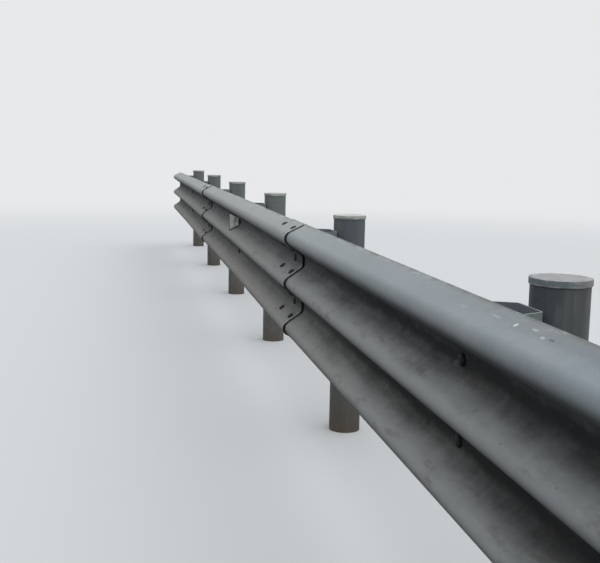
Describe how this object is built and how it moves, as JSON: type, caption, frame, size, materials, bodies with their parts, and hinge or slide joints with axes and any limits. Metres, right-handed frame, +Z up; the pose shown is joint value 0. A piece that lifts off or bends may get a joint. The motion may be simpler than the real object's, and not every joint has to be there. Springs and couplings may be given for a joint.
{
  "type": "highway guardrail section",
  "caption": "Steel highway guardrail: lapped three-wave beam panels on hexagonal offset blocks and round capped posts, with a small valley delineator.",
  "frame": {"origin": "centre of the middle post's foot, at ground level", "axes": "+X along the rail, +Z up, the traffic face of the rail towards -Y"},
  "size_m": [12.3, 0.3966, 0.985],
  "materials": {
    "rail_steel": "weathered dull grey galvanised sheet",
    "post_steel": "dull dark blue-grey galvanised tube",
    "cap_steel": "pale grey galvanised pressing, worn at its edge",
    "block_steel": "dull grey galvanised plate",
    "bracket_steel": "dull grey galvanised sheet",
    "reflector_sheet": "pale dusty retroreflective sheeting"
  },
  "bodies": {
    "root": {"rail_panel_1": "rail_steel", "rail_panel_2": "rail_steel", "rail_panel_3": "rail_steel", "post_1": "post_steel", "post_2": "post_steel", "post_3": "post_steel", "post_4": "post_steel", "post_5": "post_steel", "post_6": "post_steel", "post_7": "post_steel", "post_cap_1": "cap_steel", "post_cap_2": "cap_steel", "post_cap_3": "cap_steel", "post_cap_4": "cap_steel", "post_cap_5": "cap_steel", "post_cap_6": "cap_steel", "post_cap_7": "cap_steel", "offset_block_1": "block_steel", "offset_block_2": "block_steel", "offset_block_3": "block_steel", "offset_block_4": "block_steel", "offset_block_5": "block_steel", "offset_block_6": "block_steel", "offset_block_7": "block_steel", "delineator_bracket": "bracket_steel", "delineator_reflector": "reflector_sheet"}
  },
  "joints": []
}
